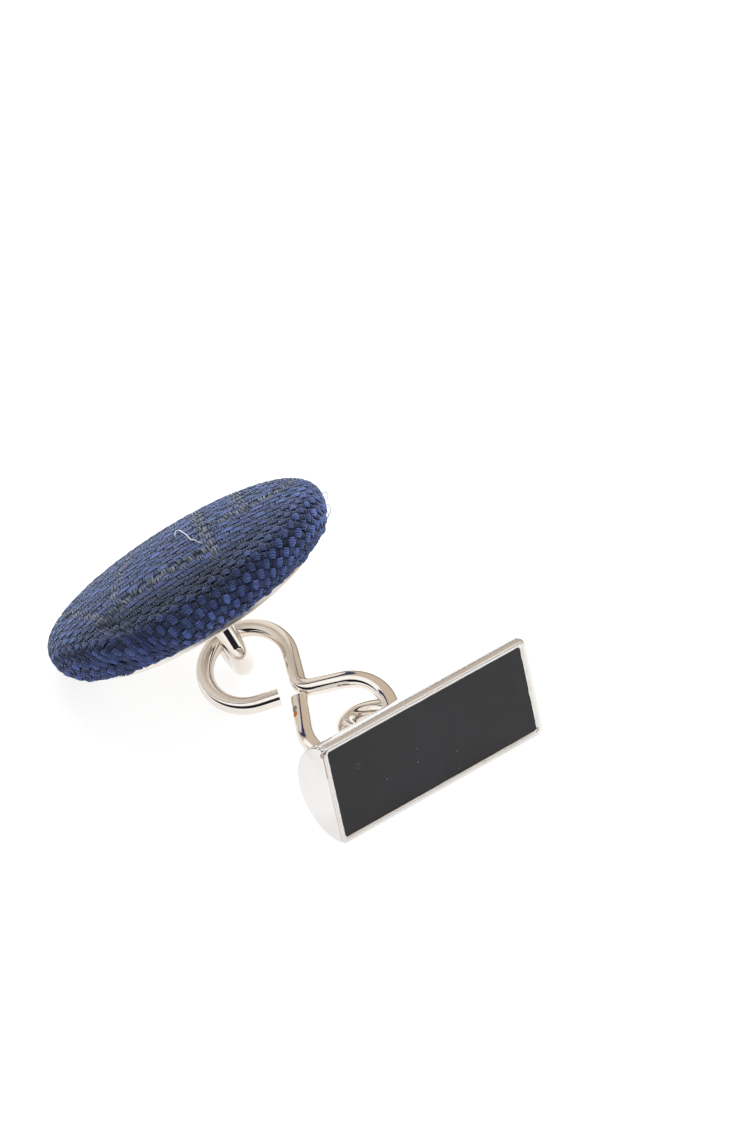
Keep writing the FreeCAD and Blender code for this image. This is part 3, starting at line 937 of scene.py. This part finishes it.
def make_rim(metal, material):
    """Rounded lip round the inlay: one section, by shares of the lip's width and heights, led round the face.

    The lip's inner side follows the inlay with a small waver, a sum of three sines; its outer side has round
    corners and stands out a little at the right end and below.
    """
    inlay = points_of("enamel_inlay")
    middle = (inlay.min(0) + inlay.max(0)) / 2
    up = np.linalg.svd(inlay - inlay.mean(0), full_matrices=False)[2][1]
    up *= np.sign(up[2])
    along = np.array([1.0, 0, 0])
    out = np.cross(along, up)
    flat = np.stack([(inlay - middle) @ along, (inlay - middle) @ up], -1)
    body = points_of("bar_body") - middle
    reach = np.abs(body @ along).max()
    inner = rounded_loop(flat.min(0), flat.max(0), metal.lip_inner_round)
    low = np.array([metal.lip_inset - reach, flat[:, 1].min() - metal.lip_width])
    high = np.array([reach + metal.lip_end, flat[:, 1].max() + metal.lip_width])
    outer = rounded_loop(low, high, metal.lip_round)
    turn = np.linspace(0, FULL_TURN, len(inner), endpoint=False)[:, None]
    across = (outer - inner) / np.linalg.norm(outer - inner, axis=1, keepdims=True)
    inner = inner + waves(turn, LIP_WAVES, np.sin) * metal.lip_waver * across
    share, height = np.array(LIP_SECTION).T
    spread = inner[:, None] + share[None, :, None] * (outer - inner)[:, None]
    level = (body @ out).max() + height * MM
    points = middle + spread[..., :1] * along + spread[..., 1:] * up + level[None, :, None] * out
    rows, columns = spread.shape[:2]
    k, m = np.meshgrid(np.arange(rows), np.arange(columns), indexing="ij")
    k1, m1 = (k + 1) % rows, (m + 1) % columns
    faces = np.stack([k * columns + m, k * columns + m1, k1 * columns + m1, k1 * columns + m], -1)
    return new_piece("rim_lip", above_table(points), faces.reshape(-1, 4).tolist(), material)


# Operators

def dress(name, material):
    """Gives a solid's object a better material in each of its slots."""
    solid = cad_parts[name]
    if not len(solid.material_slots):
        solid.data.materials.append(material)
    for slot in solid.material_slots:
        slot.material = material


# Studio by the angle up from the front in half turns: dark low front, white panel, warm ceiling, dim rear
BLACK, WHITE = (0.015, 0.015, 0.020, 1), (1, 1, 1, 1)
WARM, DIM = (0.58, 0.49, 0.40, 1), (0.16, 0.148, 0.136, 1)
SKY_BANDS = ((0.0, BLACK), (0.190, BLACK), (0.210, WHITE), (0.470, WHITE), (0.500, WARM), (0.84, WARM),
             (0.93, DIM), (1.0, DIM))
# Floor as a source of light, and as it is seen under its glow
FLOOR_PLAIN, FLOOR_SHADED = (0.86, 0.86, 0.86, 1), (0.24, 0.24, 0.24, 1)


class CUFFLINK_OT_stage(Operator):
    """Camera, pale floor, soft lights and the world"""
    bl_idname = "cufflink.stage"
    bl_label = "Set the stage"

    def execute(self, context):
        stage = context.scene.cufflink_stage
        scene = context.scene
        scene.view_settings.view_transform = "Standard"
        camera = bpy.data.objects.new("camera", bpy.data.cameras.new("camera"))
        camera.data.lens = stage.lens
        camera.data.sensor_width = stage.sensor
        camera.data.clip_start = stage.near_clip
        camera.location = stage.eye
        camera.rotation_euler = Vector(stage.look).to_track_quat("-Z", "Y").to_euler()
        scene.collection.objects.link(camera)
        scene.camera = camera
        self.lay_floor(stage)
        self.light_world(scene, stage)
        self.hang_lights(scene, stage)
        return {"FINISHED"}

    def lay_floor(self, stage):
        """Pale floor that shows white by itself and still takes the part's shadow."""
        material = bpy.data.materials.new("pale_floor")
        material.use_nodes = True
        tree = material.node_tree
        tree.nodes.clear()
        path = node(tree, "LightPath").outputs
        seen = maths(tree, "MAXIMUM", path["Is Camera Ray"],
                     maths(tree, "MAXIMUM", path["Is Glossy Ray"], path["Is Transmission Ray"]))
        plain = node(tree, "BsdfDiffuse", {"Color": FLOOR_PLAIN})
        shaded = node(tree, "BsdfDiffuse", {"Color": FLOOR_SHADED})
        glow = node(tree, "Emission", {"Color": WHITE, "Strength": stage.floor_glow})
        lit = node(tree, "AddShader", {0: shaded.outputs[0], 1: glow.outputs[0]})
        pick = node(tree, "MixShader", {0: seen, 1: plain.outputs[0], 2: lit.outputs[0]})
        node(tree, "OutputMaterial", {"Surface": pick.outputs[0]})
        half = stage.floor_size / 2
        corners = np.array([[-half, -half, 0], [half, -half, 0], [half, half, 0], [-half, half, 0]])
        floor = new_piece("floor", corners, [(0, 1, 2, 3)], material, smooth=False)

    def light_world(self, scene, stage):
        """White to the camera; for light and reflections a studio by the angle up from the front."""
        world = bpy.data.worlds.new("studio")
        world.use_nodes = True
        tree = world.node_tree
        tree.nodes.clear()
        path = node(tree, "LightPath").outputs
        way = node(tree, "TexCoord").outputs["Generated"]
        rise = node(tree, "SeparateXYZ", {"Vector": way}).outputs[2]
        facing = Vector((-stage.look[0], -stage.look[1], 0)).normalized()
        ahead = vector_maths(tree, "DOT_PRODUCT", way, facing)
        turn = maths(tree, "DIVIDE", maths(tree, "ARCTAN2", rise, ahead), math.pi)
        sky = node(tree, "ValToRGB", {"Fac": turn})
        bands = sky.color_ramp.elements
        first, *inner, last = SKY_BANDS
        for band, (place, tone) in zip(bands, (first, last)):
            band.position, band.color = place, tone
        for place, tone in inner:
            bands.new(place).color = tone
        soft = node(tree, "Background", {"Color": sky.outputs["Color"], "Strength": stage.sky})
        plain = node(tree, "Background", {"Color": WHITE, "Strength": 1.0})
        pick = node(tree, "MixShader", {0: path["Is Camera Ray"], 1: soft.outputs[0], 2: plain.outputs[0]})
        node(tree, "OutputWorld", {"Surface": pick.outputs[0]})
        scene.world = world

    def hang_lights(self, scene, stage):
        """Large soft panels: one above, one low behind the part that lights the cloth along its surface."""
        panels = (("key_panel", stage.key_power, 0.25, (0.05, 0.12, 0.32)),
                  ("rear_panel", stage.rear_power, 0.30, (0.29, 0.20, 0.12)))
        for name, power, size, place in panels:
            panel = bpy.data.lights.new(name, "AREA")
            panel.energy = power
            panel.size = size
            lamp = bpy.data.objects.new(name, panel)
            lamp.location = place
            lamp.rotation_euler = (-lamp.location).to_track_quat("-Z", "Y").to_euler()
            lamp.visible_glossy = False
            scene.collection.objects.link(lamp)


class CUFFLINK_OT_cover(Operator):
    """Woven cloth over the button's dome"""
    bl_idname = "cufflink.cover"
    bl_label = "Stretch the cover"

    def execute(self, context):
        cover = context.scene.cufflink_cover
        outline = CoverOutline(cover)
        weave = Weave(cover, outline)
        ground = make_ground(cover, outline)
        yarn = spun_yarn()
        strands = [make_strands("weft_floats", cover, weave, True, yarn),
                   make_strands("warp_crossings", cover, weave, False, yarn)]
        for piece in [ground] + strands:
            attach(piece, "button")
        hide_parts("fabric_cover")
        return {"FINISHED"}


# The stray fibre's way over the flat cloth and its height, in millimetres
FIBRE_KNOTS = ((0.70, 1.80, 0.10), (0.85, 2.85, 0.14), (1.10, 2.60, 0.15), (1.25, 1.55, 0.14),
               (1.40, 0.30, 0.13), (1.50, -1.05, 0.12), (1.75, -1.85, 0.12), (2.00, -2.80, 0.04))
# Each fuzz loop's two feet, by millimetres from the crown and degrees of bearing, and its reach
FUZZ_LOOPS = (((10.8, -2.5), (11.0, -10.0), 0.36), ((11.2, -10.0), (11.7, -17.0), 0.34),
              ((11.5, -13.0), (11.7, -21.0), 0.22))


class CUFFLINK_OT_fibres(Operator):
    """Pale stray fibre on the dome and small pulled loops at the edge"""
    bl_idname = "cufflink.fibres"
    bl_label = "Lay the fibres"

    def execute(self, context):
        cover = context.scene.cufflink_cover
        outline = CoverOutline(cover)
        pale = loose_fibre("pale_fibre", cover.fibre_pale)
        fuzz = loose_fibre("blue_fuzz", cover.fuzz_blue)
        u, v, rise = np.array(FIBRE_KNOTS).T * MM
        knots = outline.place(np.hypot(u, v), np.arctan2(v, u) + cover.lean, rise)
        self.lay("stray_fibre", smooth_path(knots, 60), cover.fibre_radius, pale)
        t = np.linspace(0, math.pi, 24)
        blend = 0.5 - 0.5 * np.cos(t)
        for number, (start, end, reach) in enumerate(FUZZ_LOOPS, 1):
            s = (start[0] + (end[0] - start[0]) * blend) * MM
            bearing = np.radians(start[1] + (end[1] - start[1]) * blend) + cover.lean
            loop = outline.place(s, bearing, reach * MM * np.sin(t))
            self.lay("fuzz_loop_%d" % number, loop, cover.fuzz_radius, fuzz)
        return {"FINISHED"}

    def lay(self, name, path, radius, material):
        hair = new_piece(name, *tube(path, radius), material)
        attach(hair, "button")


# Marks of wear on the metal: places, lines and beads with their radii, in millimetres
COPPER_SPOT, GREY_SPOT = (-1.03, -4.57, 1.80), (-0.85, -4.29, 1.95)
CORNER_NOTCH = (-6.02, -12.86, 5.98)
BAR_LEFT_EDGE = ((-5.965, -12.802, 6.297), (-5.965, -14.649, 0.329))
WORN_LENGTH = ((-5.965, -12.802, 6.297), (-5.965, -13.355, 4.507))
SOLDER_BEADS = (((-5.93, -12.42, 6.28), 0.14), ((-5.74, -12.74, 6.41), 0.12))


class CUFFLINK_OT_metal(Operator):
    """Polished plating on the wire, the plate and the bar"""
    bl_idname = "cufflink.metal"
    bl_label = "Polish the metal"

    def execute(self, context):
        metal = context.scene.cufflink_metal
        wire = polished("polished_wire", metal.nickel, metal.roughness)
        for name in ("button_eye", "bar_eye"):
            dress(name, wire)
        spots = ((COPPER_SPOT, 0.30, metal.copper, 0.25),
                 (GREY_SPOT, 0.32, [c * 0.4 for c in metal.nickel], 0.30))
        dress("link", polished("worn_link_wire", metal.nickel, metal.roughness, spots))
        dress("back_plate", polished("plate_nickel", metal.nickel, metal.plate_roughness))
        notch = ((CORNER_NOTCH, 0.24, metal.stain, 0.25),)
        edge = ((*BAR_LEFT_EDGE, 0.06, metal.faint_stain), (*WORN_LENGTH, 0.07, metal.stain))
        body = polished("bar_nickel", metal.bar_nickel, metal.bar_roughness, notch, edge)
        dress("bar_body", body)
        beads = new_piece("solder_beads", *balls(SOLDER_BEADS), body)
        # Painted shade: the rim gets a darker copy of the bar's plating
        rim_plating_with_painted_shade = polished("rim_nickel", metal.rim_nickel, metal.rim_roughness, notch, edge)
        for piece in (beads, make_rim(metal, rim_plating_with_painted_shade)):
            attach(piece, "bar")
        return {"FINISHED"}


class CUFFLINK_OT_enamel(Operator):
    """Satin black enamel in the bar's face"""
    bl_idname = "cufflink.enamel"
    bl_label = "Fill the enamel"

    def execute(self, context):
        dress("enamel_inlay", satin_enamel(context.scene.cufflink_metal))
        return {"FINISHED"}


class CUFFLINK_OT_inside(Operator):
    """Pressed cap, filler board and washer inside the button"""
    bl_idname = "cufflink.inside"
    bl_label = "Finish the inside"

    def execute(self, context):
        metal = context.scene.cufflink_metal
        tin = pressed_tin(metal)
        for name in ("button_shell", "backing_washer"):
            dress(name, tin)
        dress("filler_disc", pressed_board(metal))
        return {"FINISHED"}


class CUFFLINK_PT_panel(Panel):
    """Lists the cufflink's operators"""
    bl_idname = "CUFFLINK_PT_panel"
    bl_label = "Cufflink"
    bl_space_type = "VIEW_3D"
    bl_region_type = "UI"
    bl_category = "Cufflink"

    def draw(self, context):
        for operator in OPERATORS:
            self.layout.operator(operator.bl_idname)


GROUPS = (CoverSettings, MetalSettings, StageSettings)
OPERATORS = (CUFFLINK_OT_stage, CUFFLINK_OT_cover, CUFFLINK_OT_fibres, CUFFLINK_OT_metal,
             CUFFLINK_OT_enamel, CUFFLINK_OT_inside)


def register():
    for kind in GROUPS + OPERATORS + (CUFFLINK_PT_panel,):
        bpy.utils.register_class(kind)
    bpy.types.Scene.cufflink_cover = PointerProperty(type=CoverSettings)
    bpy.types.Scene.cufflink_metal = PointerProperty(type=MetalSettings)
    bpy.types.Scene.cufflink_stage = PointerProperty(type=StageSettings)


def unregister():
    del bpy.types.Scene.cufflink_stage
    del bpy.types.Scene.cufflink_metal
    del bpy.types.Scene.cufflink_cover
    for kind in reversed(GROUPS + OPERATORS + (CUFFLINK_PT_panel,)):
        bpy.utils.unregister_class(kind)


def main():
    register()
    bpy.ops.cufflink.stage()
    bpy.ops.cufflink.cover()
    bpy.ops.cufflink.fibres()
    bpy.ops.cufflink.metal()
    bpy.ops.cufflink.enamel()
    bpy.ops.cufflink.inside()


if __name__ == "__main__":
    main()
